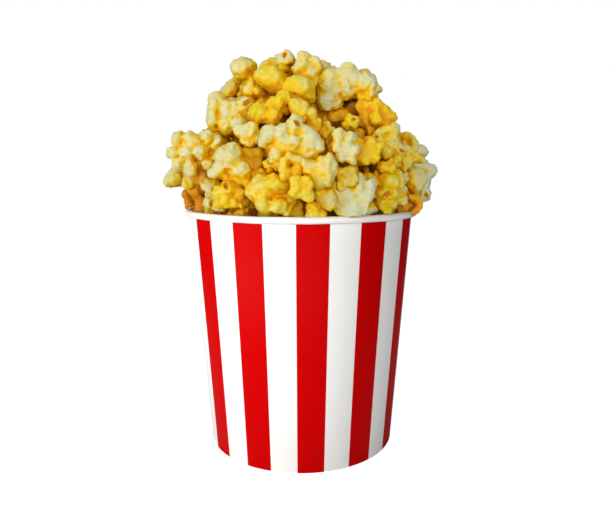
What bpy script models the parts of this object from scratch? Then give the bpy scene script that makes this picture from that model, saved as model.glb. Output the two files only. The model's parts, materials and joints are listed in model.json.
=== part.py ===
"""A round striped paperboard bucket, heaped with popcorn.

The bucket is one wrapped board: a cone whose top is curled outwards into a rolled rim and whose
bottom is folded inwards round the skirt of a recessed base disc. The popcorn fills it and stands
above the rim as a lumpy heap. Units are metres, +Z is up, and the origin is the middle of the
ring that the bucket stands on.
"""

import math
import random

import bmesh
import bpy
from mathutils import Vector

# Bucket: an 85-ounce popcorn bucket, 158 mm across its rolled rim.
RIM_OUTER_RADIUS = 0.0790
RIM_HEIGHT = 0.1612
CURL_RADIUS = 0.0021
BASE_OUTER_RADIUS = 0.0636
BOARD = 0.0006
GAP = 0.0003
HEM_HEIGHT = 0.0076
BASE_RECESS = 0.0090
SKIRT_CLEARANCE = 0.0011
CURL_END_DEG = -120
CURL_STEPS = 8
STRIPES = 24
FACETS_PER_STRIPE = 3
BUCKET_SEGMENTS = STRIPES * FACETS_PER_STRIPE
# A boundary between a white and a red stripe lies this far round from the front, -Y, towards +X.
STRIPE_PHASE_DEG = -62.4

# Popcorn heap: (height above the rim, reach towards -X, reach towards +X), before its lumps.
HEAP_OUTLINE = (
    (0.0003, 0.0780, 0.0780),
    (0.0045, 0.0790, 0.0800),
    (0.0120, 0.0812, 0.0825),
    (0.0220, 0.0825, 0.0832),
    (0.0340, 0.0808, 0.0812),
    (0.0450, 0.0765, 0.0755),
    (0.0540, 0.0650, 0.0605),
    (0.0640, 0.0572, 0.0535),
    (0.0760, 0.0535, 0.0500),
    (0.0850, 0.0435, 0.0450),
    (0.0920, 0.0330, 0.0340),
    (0.0960, 0.0190, 0.0200),
    (0.0975, 0.0000, 0.0000),
)
HEAP_SEGMENTS = 84
HEAP_RING_SPACING = 0.0055
LUMPS = 105
LUMP_RADIUS = 0.0122
LUMP_RISE = 0.0088
LUMP_VARIATION = 0.22
LUMP_SCATTER = 0.4
LUMP_SEED = 5
GOLDEN_ANGLE = math.pi * (3 - math.sqrt(5))

CURL_MIDDLE_RADIUS = RIM_OUTER_RADIUS - CURL_RADIUS
CURL_MIDDLE_HEIGHT = RIM_HEIGHT - CURL_RADIUS
WALL_BOTTOM_RADIUS = BASE_OUTER_RADIUS - BOARD / 2
WALL_TOP_RADIUS = CURL_MIDDLE_RADIUS - CURL_RADIUS + BOARD / 2


def wall_radius(height):
    """Radius of the middle of the wall's board at a height."""
    low = BOARD / 2
    share = (height - low) / (CURL_MIDDLE_HEIGHT - low)
    return WALL_BOTTOM_RADIUS + share * (WALL_TOP_RADIUS - WALL_BOTTOM_RADIUS)


def clear_scene():
    for obj in list(bpy.data.objects):
        bpy.data.objects.remove(obj)


def new_collection(name):
    collection = bpy.data.collections.new(name)
    bpy.context.scene.collection.children.link(collection)
    return collection


def principled(name, colour, roughness, metallic=0.0):
    material = bpy.data.materials.new(name)
    material.use_nodes = True
    shader = material.node_tree.nodes["Principled BSDF"]
    shader.inputs["Base Color"].default_value = (*colour, 1.0)
    shader.inputs["Roughness"].default_value = roughness
    shader.inputs["Metallic"].default_value = metallic
    return material


def profile_object(name, points, collection):
    """An open outline in the XZ plane at +X, one vertex for each (radius, height)."""
    mesh = bpy.data.meshes.new(name)
    edges = [(i, i + 1) for i in range(len(points) - 1)]
    mesh.from_pydata([(radius, 0.0, height) for radius, height in points], edges, [])
    obj = bpy.data.objects.new(name, mesh)
    collection.objects.link(obj)
    return obj


def turn(obj, segments):
    """Turns an outline once round Z."""
    screw = obj.modifiers.new("turned", "SCREW")
    screw.steps = segments
    screw.render_steps = segments
    screw.use_merge_vertices = True
    screw.merge_threshold = 0.00001
    screw.use_smooth_shade = True
    return screw


def thicken(obj, material_offset=0):
    """Gives a turned surface the thickness of the board, half to each side."""
    solidify = obj.modifiers.new("board", "SOLIDIFY")
    solidify.thickness = BOARD
    solidify.offset = 0.0
    solidify.use_even_offset = True
    solidify.material_offset = material_offset
    return solidify


def apply_modifiers(obj):
    """Replaces the object's mesh with the one that its modifiers make."""
    graph = bpy.context.evaluated_depsgraph_get()
    mesh = bpy.data.meshes.new_from_object(obj.evaluated_get(graph))
    obj.modifiers.clear()
    obj.data = mesh
    return mesh


def point_outwards(mesh):
    """Merges the seam and the poles of a closed turned form, and points its faces outwards."""
    work = bmesh.new()
    work.from_mesh(mesh)
    bmesh.ops.remove_doubles(work, verts=work.verts, dist=0.00001)
    bmesh.ops.recalc_face_normals(work, faces=work.faces)
    work.to_mesh(mesh)
    work.free()


def curl_points():
    """The rolled rim, from where it leaves the wall, over the top, round to its free edge."""
    radius = CURL_RADIUS - BOARD / 2
    points = []
    for step in range(CURL_STEPS + 1):
        share = step / CURL_STEPS
        angle = math.radians(180 + share * (CURL_END_DEG - 180))
        points.append(
            (
                CURL_MIDDLE_RADIUS + radius * math.cos(angle),
                CURL_MIDDLE_HEIGHT + radius * math.sin(angle),
            )
        )
    return points


def paint_stripes(mesh):
    """Gives each face of the wall the white or the red of its stripe. The curl stays white."""
    stripe_top = RIM_HEIGHT - 2 * CURL_RADIUS
    for polygon in mesh.polygons:
        middle = polygon.center
        from_front = math.degrees(math.atan2(middle.x, -middle.y))
        stripe = math.floor((from_front - STRIPE_PHASE_DEG) / (360 / STRIPES))
        on_wall = middle.z < stripe_top and middle.to_2d().length > wall_radius(middle.z) - GAP
        polygon.material_index = 1 if on_wall and stripe % 2 == 0 else 0


def make_bucket_wall(collection, white, red):
    """The wrapped board: an inner hem, the fold that it stands on, the cone and the rolled rim."""
    hem_inset = 2 * (BOARD + GAP)
    fold = BOARD / 2
    points = [
        (wall_radius(HEM_HEIGHT) - hem_inset, HEM_HEIGHT),
        (wall_radius(fold) - hem_inset, fold),
        (wall_radius(fold), fold),
    ]
    points += curl_points()
    obj = profile_object("bucket_wall", points, collection)
    turn(obj, BUCKET_SEGMENTS)
    mesh = apply_modifiers(obj)
    point_outwards(mesh)
    for material in (white, red, white):
        mesh.materials.append(material)
    # The faceted ring starts at +X, so it is turned until its facets meet the stripes' edges.
    step = 360 / BUCKET_SEGMENTS
    obj.rotation_euler.z = math.radians((STRIPE_PHASE_DEG - 90) % step)
    bpy.context.view_layer.update()
    mesh.transform(obj.matrix_world)
    obj.rotation_euler.z = 0.0
    paint_stripes(mesh)
    thicken(obj, material_offset=2)
    return obj


def make_bucket_base(collection, board):
    """The recessed disc that closes the bottom, with the skirt that the wall's hem clamps."""
    skirt_inset = BOARD + GAP
    bottom = SKIRT_CLEARANCE
    points = [
        (0.0, BASE_RECESS),
        (wall_radius(BASE_RECESS) - skirt_inset, BASE_RECESS),
        (wall_radius(bottom) - skirt_inset, bottom),
    ]
    obj = profile_object("bucket_base", points, collection)
    turn(obj, BUCKET_SEGMENTS)
    thicken(obj)
    obj.data.materials.append(board)
    return obj


def along_outline(height):
    """Reach towards -X and towards +X of the heap at a height above the rim."""
    for low, high in zip(HEAP_OUTLINE, HEAP_OUTLINE[1:]):
        if height <= high[0]:
            share = (height - low[0]) / (high[0] - low[0])
            return tuple(low[i] + share * (high[i] - low[i]) for i in (1, 2))
    return (0.0, 0.0)


def heap_heights():
    """Heights above the rim that are evenly spaced along the heap's outline, rim to top."""
    heights = [HEAP_OUTLINE[0][0]]
    for low, high in zip(HEAP_OUTLINE, HEAP_OUTLINE[1:]):
        length = math.hypot(high[0] - low[0], (high[2] + high[1] - low[2] - low[1]) / 2)
        pieces = max(1, round(length / HEAP_RING_SPACING))
        rise = (high[0] - low[0]) / pieces
        heights += [low[0] + rise * (i + 1) for i in range(pieces)]
    return heights


def lump_centres():
    """Middle, radius and rise of each lump, spread over the heap by the golden angle."""
    heights = heap_heights()
    spans = []
    for low, high in zip(heights, heights[1:]):
        near = sum(along_outline(low)) / 2
        far = sum(along_outline(high)) / 2
        spans.append((near + far) * math.hypot(high - low, far - near))
    total = sum(spans)
    chance = random.Random(LUMP_SEED)
    lumps = []
    for number in range(LUMPS):
        left_over = total * (number + 0.5) / LUMPS
        index = 0
        while left_over > spans[index]:
            left_over -= spans[index]
            index += 1
        share = left_over / spans[index]
        height = heights[index] + share * (heights[index + 1] - heights[index])
        left, right = along_outline(height)
        scatter = LUMP_SCATTER * LUMP_RADIUS / max(LUMP_RADIUS, (left + right) / 2)
        angle = number * GOLDEN_ANGLE + chance.uniform(-scatter, scatter)
        centre = Vector(
            (
                (right - left) / 2 + (left + right) / 2 * math.cos(angle),
                (left + right) / 2 * math.sin(angle),
                RIM_HEIGHT + height,
            )
        )
        size = 1 + chance.uniform(-LUMP_VARIATION, LUMP_VARIATION)
        lumps.append((centre, LUMP_RADIUS * size, LUMP_RISE * size))
    return lumps


def lump_rise_at(point, lumps):
    """How far the surface stands out at a point: the highest of the round lumps over it."""
    rise = 0.0
    for centre, radius, height in lumps:
        share = (point - centre).length / radius
        if share < 1:
            rise = max(rise, height * math.sqrt(1 - share * share))
    return rise


def make_popcorn(collection, material):
    """The popcorn: it fills the bucket to the board, passes over the rim and heaps above it."""
    floor = BASE_RECESS + BOARD / 2 + GAP
    inset = BOARD / 2 + GAP
    over_rim = RIM_HEIGHT + HEAP_OUTLINE[0][0]
    levels = RIM_HEIGHT - CURL_RADIUS
    points = [
        (0.0, floor),
        (wall_radius(floor) - inset, floor),
        (wall_radius(levels) - inset, levels),
        (wall_radius(levels) - inset, over_rim),
    ]
    points += [(sum(along_outline(h)) / 2, RIM_HEIGHT + h) for h in heap_heights()]
    points.reverse()
    obj = profile_object("popcorn", points, collection)
    turn(obj, HEAP_SEGMENTS)
    mesh = apply_modifiers(obj)
    point_outwards(mesh)
    lumps = lump_centres()
    normals = [vertex.normal.copy() for vertex in mesh.vertices]
    # The ring that passes over the rim stays level, so that the heap clears the curl.
    lowest_lump = over_rim + HEAP_RING_SPACING / 4
    for vertex, normal in zip(mesh.vertices, normals):
        if vertex.co.z < lowest_lump:
            continue
        left, right = along_outline(vertex.co.z - RIM_HEIGHT)
        vertex.co.x += (right - left) / 2
        vertex.co += normal * lump_rise_at(vertex.co, lumps)
        vertex.co.z = max(vertex.co.z, over_rim)
    settle_on_axis(mesh)
    mesh.materials.append(material)
    return obj


def settle_on_axis(mesh):
    """Shifts the heap above the rim so that its outermost reach is even about the axis."""
    heap = [v for v in mesh.vertices if v.co.z > RIM_HEIGHT + CURL_RADIUS]
    for axis in (0, 1):
        reach = [v.co[axis] for v in heap]
        offset = (max(reach) + min(reach)) / 2
        for vertex in heap:
            vertex.co[axis] -= offset


def main():
    clear_scene()
    collection = new_collection("popcorn_bucket")
    white = principled("white_board", (0.90, 0.89, 0.86), 0.45)
    red = principled("red_print", (0.72, 0.0, 0.003), 0.42)
    corn = principled("popped_corn", (0.85, 0.66, 0.24), 0.6)
    whole = bpy.data.objects.new("popcorn_bucket", None)
    collection.objects.link(whole)
    pieces = (
        make_bucket_wall(collection, white, red),
        make_bucket_base(collection, white),
        make_popcorn(collection, corn),
    )
    for piece in pieces:
        piece.parent = whole


main()
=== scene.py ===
"""The looks of a striped paperboard bucket heaped with popcorn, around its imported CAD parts."""

import json
import math
import random

import bmesh
import bpy
import numpy as np
from mathutils import Euler, Matrix, Vector
from mathutils.bvhtree import BVHTree
from mathutils.kdtree import KDTree

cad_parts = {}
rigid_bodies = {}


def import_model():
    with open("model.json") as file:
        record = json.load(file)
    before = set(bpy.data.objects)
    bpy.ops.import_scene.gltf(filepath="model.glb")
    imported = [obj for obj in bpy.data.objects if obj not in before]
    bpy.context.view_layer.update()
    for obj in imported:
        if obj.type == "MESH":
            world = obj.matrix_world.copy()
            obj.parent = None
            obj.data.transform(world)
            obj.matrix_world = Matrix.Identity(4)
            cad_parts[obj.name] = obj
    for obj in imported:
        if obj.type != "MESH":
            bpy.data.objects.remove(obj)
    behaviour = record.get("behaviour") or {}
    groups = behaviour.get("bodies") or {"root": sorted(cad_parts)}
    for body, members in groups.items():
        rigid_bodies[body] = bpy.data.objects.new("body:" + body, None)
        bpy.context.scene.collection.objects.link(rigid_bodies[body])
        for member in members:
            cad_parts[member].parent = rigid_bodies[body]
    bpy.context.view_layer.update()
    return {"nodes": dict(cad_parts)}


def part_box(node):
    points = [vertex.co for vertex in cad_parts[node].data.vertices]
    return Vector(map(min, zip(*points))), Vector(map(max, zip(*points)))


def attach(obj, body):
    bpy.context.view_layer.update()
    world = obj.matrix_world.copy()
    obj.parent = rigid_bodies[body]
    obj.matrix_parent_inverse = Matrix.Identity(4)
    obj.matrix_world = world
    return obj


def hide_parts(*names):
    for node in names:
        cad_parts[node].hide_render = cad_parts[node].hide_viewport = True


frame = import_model()

MM = 0.001

# --- what each kind of flake is made of --------------------------------------------------------
# A lobe is (across, out, up, radius) or (across, out, up, across radius, depth, height, tilt),
# in millimetres and degrees, as the flake is seen from its front. Out is towards the viewer.
# A pit is (across, up, radius, depth, brown): where the hull shows, from 0 to 1. Puff is how deep
# the small blisters all over the flake are, from 0 to 1.


def arc_of_lobes(middle, radius, start, end, count, lobe, out=0.0):
    """Lobes along an arc that is seen face on. Degrees run anticlockwise from the right."""
    lobes = []
    for step in range(count):
        angle = math.radians(start + (end - start) * step / (count - 1))
        across = middle[0] + radius * math.cos(angle)
        up = middle[1] + radius * math.sin(angle)
        lobes.append((across, out, up, lobe))
    return lobes


def fan_of_lobes(root, length, start, end, count, thickness, out=0.0):
    """Long lobes that spread from a root, like the fluted wing of a flake."""
    lobes = []
    for step in range(count):
        angle = math.radians(start + (end - start) * step / (count - 1))
        half = length * (1.0 + 0.12 * math.cos(2.1 * step + 0.6)) / 2
        across = root[0] + half * math.sin(angle)
        up = root[1] + half * math.cos(angle)
        size = (thickness, thickness * 1.3, half + 0.5, math.degrees(angle))
        lobes.append((across, out, up) + size)
    return lobes


FLAKES = {
    "saddle": dict(
        lobes=[
            (-10, 0, 1, 9, 8, 11.5, 0), (1, 1, 3, 10, 7.5, 10.5, 0), (11, 0, 2.5, 9.5, 8, 9, 0),
            (14, 1, -6, 7.2, 6.8, 8, 0), (-12, 1, -8.5, 6.8, 6.5, 7, 0),
            (-5.5, 0, -9, 4.8, 5, 5.2, 0), (1, 0, 12, 5, 4.5, 3.6, 0), (19, 0, 1, 3.6), (-17, 0, 5, 4),
        ],
        pits=[(13, -3, 2.0, 0.5, 0.10)],
        puff=0.08,
    ),
    "star": dict(
        lobes=[
            (0, 1, 0, 8.5, 6.5, 7.5, 0), (-11, 0, 5, 6), (-13.5, 0, 2.5, 4.4), (-5, 1, 6.5, 5),
            (2.5, 0, 9, 5.4), (4, 0, 12.5, 3.6), (10, 0, 2, 6.6), (14, 0, -0.5, 4.8), (7, 1, 7, 4),
            (-7, 0, -5.5, 6.2), (-4.5, -1, -10.5, 5.6), (7, 0, -5, 5.8), (11.5, 0, -5, 4.4),
        ],
        pits=[(1, -1, 2.0, 1.0, 0.38), (3.5, 11.0, 1.9, 1.0, 1.0)],
        puff=0.3,
    ),
    "pitted": dict(
        lobes=[
            (0, 0, 2, 9.5, 7.5, 8, 0), (-8.5, 0, 7, 6.2), (-11, 0, 2, 4.8), (7.5, 0, 4.5, 7),
            (-10, 0, -4.5, 5.4), (-3, 0, -6, 6.4), (4, 1, -4.5, 6.6), (9.5, 0, -2, 5),
        ],
        pits=[(8, 6, 2.2, 1.2, 0.95), (3.5, -1.5, 1.1, 0.9, 0.3), (-9, -6.5, 1.4, 1.2, 0.9)],
        puff=0.25,
    ),
    "cluster": dict(
        lobes=[
            (-12, 0, 8.5, 5.2), (-15, 0, 0, 4.6), (-4, 1, 7.5, 5.4), (5, 0, 9.5, 5.6),
            (11, 0, 6, 5.6), (2, 2, 1, 5.8), (-7, 1, 0, 5.8), (-13, 0, -7, 4.4),
            (-5, 0, -8.5, 5), (6, 0, -6, 5.4), (12, 0, -2, 4.8), (0, -3, 0, 9, 5, 8, 0),
        ],
        pits=[(-9, 4, 1.2, 1.2, 0.2), (-2, -4.5, 1.4, 1.5, 0.85)],
        puff=0.35,
    ),
    "butterfly": dict(
        lobes=[
            (-1, 1, 4, 8.5, 6.5, 8, 10), (-7, 0, -3, 5.6), (5, 0, -3, 7, 5.5, 7, -20),
            (9, 0, -9, 4), (-11, 0, -5, 3.4), (1, -1, 9, 5.2), (-3, 0, -7, 2.8), (3, 0, -9, 3),
        ],
        pits=[(-1, -6, 1.8, 1.2, 0.5)],
        puff=0.25,
    ),
    "bun": dict(
        lobes=[
            (-6.5, 0, 0, 9.5, 8.5, 10, 0), (3.5, 4, 4, 10, 6.2, 6.6, -6), (-6, 4, -7, 5.6),
            (2.5, 5, -8, 5.2), (9, 1, -3, 6.5), (12.5, 1, 3, 4.2), (6, 2, -11.5, 4.4),
        ],
        pits=[(-1.5, -4.5, 1.6, 1.8, 0.5)],
        puff=0.3,
    ),
    "ring": dict(
        lobes=arc_of_lobes((0, 2), 4.4, 60, 400, 8, 3.7)
        + [(4, 0, -5.5, 4.4), (6.5, 0, -9, 3.8), (-2, 0, -4, 4)],
        pits=[(0, 2, 1.8, 2.0, 0.75)],
        puff=0.1,
    ),
    "wedge": dict(
        lobes=[
            (0, 0, -1, 6.8, 5.8, 6.8, 0), (-3, 0, 3.8, 4.6), (3.6, 0, 3, 4.8), (4, 0, -4.5, 4),
            (-4, 1, -4, 3.8),
        ],
        pits=[(0.5, 3, 1.2, 0.8, 0.2)],
        puff=0.2,
    ),
    "fan": dict(
        lobes=fan_of_lobes((0, -9), 19, -34, 34, 5, 4.6)
        + [(0, -1, -5, 8, 5.5, 6, 0), (0, 0, 1, 8.6, 5.2, 7, 0)],
        pits=[],
        puff=0.15,
    ),
    "wings": dict(
        lobes=fan_of_lobes((-4.5, -12), 23, -20, 2, 3, 4.8)
        + fan_of_lobes((5, -12), 25, 0, 20, 3, 4.8)
        + [
            (0, 1, -8, 11.5, 6, 6.5, 0), (-7, 0, -1, 6.5, 5, 8, -6), (7.5, 0, 0, 6.5, 5, 9, 6),
            (0.5, 1, -1, 6, 5, 8, 0),
        ],
        pits=[(5, -7, 1.8, 0.5, 0.10)],
        puff=0.15,
    ),
    "dome": dict(
        lobes=[
            (0, 0, 1.5, 10.5, 8.6, 7.6, 0), (-5.5, 1, -3, 5, 5, 3.6, 0), (5.5, 1, -3.4, 5, 5, 3.6, 0),
            (0, 1, -4.5, 6, 5, 3, 0),
        ],
        pits=[],
        puff=0.0,
    ),
    "ball": dict(
        lobes=[(1, 0, 0, 8.6, 8, 8.2, 0), (-5, 0, 1, 5.8), (4, 1, -3, 5.6)],
        pits=[(-6, -4, 1.5, 1.0, 0.4)],
        puff=0.0,
    ),
    "folded": dict(
        lobes=[
            (-6, 1, -2.5, 6.6, 6, 6.2, 0), (2, 1, 1.5, 9, 5, 4.6, -30), (7.5, 0, 5, 4.6),
            (1, 2, -4, 5.6), (-5, 3, -4, 4.4, 4, 3.6, 0), (6, -1, -0.5, 4.4),
        ],
        pits=[(-1.5, -0.5, 1.2, 1.2, 0.35)],
        puff=0.3,
    ),
    "knob": dict(
        lobes=[
            (-2.5, 0, 5.5, 7.2, 6.8, 7, 0), (2, 0, -3, 4.8), (4.5, 0, -7.5, 4.6), (-0.5, 0, -7, 4.4),
            (6, -1, -3, 3.4),
        ],
        pits=[(-2.5, -1.5, 1.4, 1.0, 0.4)],
        puff=0.05,
    ),
    "tooth": dict(
        lobes=[
            (0, 0, 0, 5.8, 5, 5, 0), (-3, 0, 1.5, 3.8), (3.5, 0, 1.2, 4), (0.5, 0, 4.6, 3.4),
            (0.5, 0, -4.8, 3.6),
        ],
        pits=[(-0.5, 3.4, 1.9, 1.5, 1.0)],
        puff=0.1,
    ),
    "berry": dict(
        lobes=[
            (-7, 0, 4, 4.3), (-1.5, 1, 5, 4.4), (4, 0, 4.5, 4.2), (8.5, 0, 1.5, 3.8),
            (-5, 1, -2.5, 4.8), (0.5, 3, -1, 4.6), (5.5, 1, -2.5, 4.3), (-1.5, 1, -6.5, 4),
            (9.5, 0, -3, 3), (0, -3, 0, 7, 4.5, 6, 0),
        ],
        pits=[(3, 1.5, 1.2, 1.2, 0.5), (7, -4.5, 1.1, 1.0, 0.5)],
        puff=0.3,
    ),
    "crescent": dict(
        lobes=arc_of_lobes((-4, 0), 8.0, 78, -84, 7, 4.3) + [(-4, 0, 9.5, 3.6), (-5.5, 0, -8.5, 3.4)],
        pits=[],
        puff=0.0,
    ),
    "column": dict(
        lobes=[
            (-1, 0, 7, 5, 4.6, 5.5, 12), (1, 0, -1, 5.6, 5, 6, -12), (-1, 0, -8, 4.8, 4.6, 5, 8),
            (3.8, 0, 3, 3.2), (-4, 1, -3.5, 3),
        ],
        pits=[(0.5, -6, 1.7, 0.8, 0.9)],
        puff=0.2,
    ),
    "hood": dict(
        lobes=arc_of_lobes((0, 4), 7.4, -15, 195, 9, 2.7, 0)
        + [
            (0, 2.5, 4.5, 6.8, 5.6, 6.6, 0), (0, 1, -3, 8.4, 5.5, 5, 0), (-2, 0, -8, 5.2),
            (2.5, 0, -8.5, 4.8), (1, 0, -13, 3.6),
        ],
        pits=[(-1, -3.6, 2.6, 2.4, 0.7)],
        puff=0.0,
    ),
    "drum": dict(
        lobes=[
            (0, 0, 2, 8.2, 7.4, 6.4, 0), (-6, 1, 1, 4.6), (6.5, 1, -1, 4.8), (-1, 2, -4.5, 5.2),
            (4, 3, -6, 3.4), (7, 2, -7, 2.6), (-5, 0, -5, 4.4),
        ],
        pits=[(-0.5, 4.5, 2.3, 2.2, 0.85)],
        puff=0.25,
    ),
    "scroll": dict(
        lobes=arc_of_lobes((2, -1), 5.4, -20, 250, 6, 3.4, 1)
        + [(-4, 0, 3, 6.4, 5, 5.4, 0), (-8, 0, -1, 4.6), (4, -1, 4.5, 4.6), (2, -2, -1, 5.4)],
        pits=[(4, -1.5, 1.9, 2.0, 0.8)],
        puff=0.2,
    ),
    "slab": dict(
        lobes=[
            (0, 0, 0, 8.6, 4.2, 5.4, 8), (-7, 0, -2, 4.2), (-4, 0, 4, 4), (4, 0, 4.5, 4.2),
            (8.5, 0, 1.5, 3.8), (5.5, 0, -3.5, 4.2), (-2, 1, -4, 4),
        ],
        pits=[(-3.5, -0.5, 1.3, 1.0, 0.3)],
        puff=0.2,
    ),
}

# --- how a flake is grown ----------------------------------------------------------------------

VOXEL = 0.6 * MM
BENCH_SPACING = 60 * MM
TRIANGLES_PER_SQUARE_MM = 2.4
# How deep the blisters are, in millimetres: on a smooth flake, and how much a full puff adds.
LEAST_BLISTERS = 0.7
BLISTERS = 5.6
WARP = 3.6 * MM
WRINKLE = 1.7 * MM
VALLEY_DEPTH = 1.1 * MM
VALLEY_ROUNDS = 80
CREASE_DEPTH = 0.32 * MM
CREASE_ROUNDS = 10
LOOKS = ("valley", "crease", "hull")
RELIEFS = (
    # Texture, kind, size of its lumps, and its settings.
    ("warp", "CLOUDS", 10 * MM, dict(noise_depth=1, cloud_type="COLOR")),
    ("puff", "VORONOI", 6.5 * MM, dict(weight_1=-1.0, weight_2=1.0)),
    ("wrinkle", "CLOUDS", 2.4 * MM, dict(noise_depth=2)),
    ("big_puff", "VORONOI", 14 * MM, dict(distance_metric="DISTANCE")),
    ("big_wrinkle", "CLOUDS", 6 * MM, dict(noise_depth=2)),
)


def deselect_all():
    for obj in bpy.context.selected_objects:
        obj.select_set(False)


def make_active(obj):
    deselect_all()
    obj.select_set(True)
    bpy.context.view_layer.objects.active = obj


def apply_modifier(obj, kind, **settings):
    """Adds one modifier with its settings and applies it."""
    modifier = obj.modifiers.new(kind.lower(), kind)
    for key, value in settings.items():
        setattr(modifier, key, value)
    make_active(obj)
    bpy.ops.object.modifier_apply(modifier=modifier.name)


def displace(obj, texture, strength, mid_level, **settings):
    apply_modifier(
        obj, "DISPLACE", texture=texture, texture_coords="LOCAL", strength=strength,
        mid_level=mid_level, **settings,
    )


def relief_textures():
    """The textures that puff, warp and wrinkle the popcorn, by their names."""
    textures = {}
    for name, kind, size, settings in RELIEFS:
        texture = bpy.data.textures.new(name, kind)
        texture.noise_scale = size
        for key, value in settings.items():
            setattr(texture, key, value)
        textures[name] = texture
    return textures


def lobe_size(lobe):
    """The lobe's three radii and its tilt."""
    if len(lobe) == 4:
        return (lobe[3],) * 3, 0.0
    return lobe[3:6], lobe[6]


def add_lobe(lobe, bench):
    """Adds one rounded lobe at its place on the bench. In edit mode it joins the open flake."""
    radii, tilt = lobe_size(lobe)
    bpy.ops.mesh.primitive_ico_sphere_add(
        subdivisions=3,
        radius=1.0,
        location=(bench + lobe[0] * MM, -lobe[1] * MM, lobe[2] * MM),
        rotation=(0.0, math.radians(tilt), 0.0),
        scale=tuple(radius * MM for radius in radii),
    )


def read(items, name, width, kind=np.float64):
    """One value of each item, such as a vertex's place, as the rows of an array."""
    values = np.empty(len(items) * width, dtype=kind)
    items.foreach_get(name, values)
    return values.reshape(-1, width)


def mesh_arrays(mesh):
    """Places and outward normals of a mesh's vertices, and its edges, as arrays."""
    places = read(mesh.vertices, "co", 3)
    normals = read(mesh.vertices, "normal", 3)
    return places, normals, read(mesh.edges, "vertices", 2, np.int64)


def relaxed(values, edges, rounds):
    """Each vertex's values, evened out with its neighbours' the given number of times."""
    first, second = edges[:, 0], edges[:, 1]
    count = len(values)
    degree = np.bincount(first, minlength=count) + np.bincount(second, minlength=count)
    degree = np.maximum(degree, 1)[:, None]
    values = values.copy()
    for _ in range(rounds):
        total = np.zeros_like(values)
        for axis in range(values.shape[1]):
            total[:, axis] += np.bincount(first, weights=values[second, axis], minlength=count)
            total[:, axis] += np.bincount(second, weights=values[first, axis], minlength=count)
        values = 0.5 * values + 0.5 * total / degree
    return values


def hollowness(places, normals, edges, rounds, depth):
    """How far each vertex lies in a hollow: 1 deep in a crease, -1 on the crest of a lobe."""
    smooth = relaxed(places, edges, rounds)
    return np.clip(((smooth - places) * normals).sum(axis=1) / depth, -1.0, 1.0)


def press_pits(mesh, pits, bench):
    """Dents the flake's front where its hull shows, and returns how much hull each vertex shows.

    Each pit is a leaning oval with a ragged edge, so that no two pits look alike.
    """
    places, normals, _ = mesh_arrays(mesh)
    hull = np.zeros(len(places))
    for across, up, radius, depth, brown in pits:
        right = (places[:, 0] - bench) / MM - across
        above = places[:, 2] / MM - up
        lean = 0.9 * across + 0.5 * up
        along = right * math.cos(lean) + above * math.sin(lean)
        beside = above * math.cos(lean) - right * math.sin(lean)
        ragged = 0.22 * np.sin(2.1 * right + lean) * np.cos(1.7 * above - lean)
        gap = np.hypot(0.78 * along, 1.35 * beside) / radius + ragged
        in_front = normals[:, 1] < -0.15
        fall = np.clip(1.0 - gap / 1.25, 0.0, 1.0) * in_front
        fall = fall * fall * (3 - 2 * fall)
        places[:, 1] += fall * depth * MM
        hull = np.maximum(hull, brown * np.clip(fall * 1.9, 0.0, 1.0))
    mesh.vertices.foreach_set("co", places.ravel())
    mesh.update()
    return hull


def store(mesh, name, values):
    attribute = mesh.attributes.new(name, "FLOAT", "POINT")
    attribute.data.foreach_set("value", np.asarray(values, dtype=np.float32))


def raise_lobes(recipe, bench):
    """Adds all the lobes of a flake on the bench, as one mesh."""
    deselect_all()
    add_lobe(recipe["lobes"][0], bench)
    flake = bpy.context.object
    bpy.ops.object.mode_set(mode="EDIT")
    for lobe in recipe["lobes"][1:]:
        add_lobe(lobe, bench)
    bpy.ops.object.mode_set(mode="OBJECT")
    make_active(flake)
    bpy.ops.object.transform_apply(location=True, rotation=True, scale=True)
    return flake


def grow_flake(kind, number, textures):
    """Models one flake on its own stretch of the bench, so that no two share their wrinkles."""
    recipe = FLAKES[kind]
    bench = BENCH_SPACING * (number + 1)
    flake = raise_lobes(recipe, bench)
    flake.name = "flake_" + kind
    apply_modifier(flake, "REMESH", mode="VOXEL", voxel_size=VOXEL)
    apply_modifier(flake, "SMOOTH", factor=0.5, iterations=3)
    displace(flake, textures["puff"], (LEAST_BLISTERS + BLISTERS * recipe["puff"]) * MM, 0.22)
    apply_modifier(flake, "SMOOTH", factor=0.5, iterations=2)
    displace(flake, textures["warp"], WARP, 0.5, direction="RGB_TO_XYZ")
    displace(flake, textures["wrinkle"], WRINKLE, 0.5)
    apply_modifier(flake, "SMOOTH", factor=0.5, iterations=1)
    hull = press_pits(flake.data, recipe["pits"], bench)
    places, normals, edges = mesh_arrays(flake.data)
    # The valley and crease measures paint crevice shade into the corn's colour.
    valley = hollowness(places, normals, edges, VALLEY_ROUNDS, VALLEY_DEPTH)
    crease = hollowness(places, normals, edges, CREASE_ROUNDS, CREASE_DEPTH)
    thin_out(flake, places, (valley, crease, hull))
    flake.data.transform(Matrix.Translation((-bench, 0.0, 0.0)))
    flake.data.shade_smooth()
    return flake


def thin_out(flake, places, looks):
    """Leaves the flake only the triangles it needs, each vertex with the looks of its place."""
    finder = KDTree(len(places))
    for index, place in enumerate(places):
        finder.insert(place, index)
    finder.balance()
    area = sum(polygon.area for polygon in flake.data.polygons) / MM**2
    triangles = 2 * len(flake.data.polygons)
    apply_modifier(
        flake, "DECIMATE", ratio=min(1.0, area * TRIANGLES_PER_SQUARE_MM / triangles),
        use_collapse_triangulate=True,
    )
    nearest = [finder.find(place)[1] for place in mesh_arrays(flake.data)[0]]
    for name, values in zip(LOOKS, looks):
        store(flake.data, name, values[nearest])


# --- view and light ----------------------------------------------------------------------------

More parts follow.
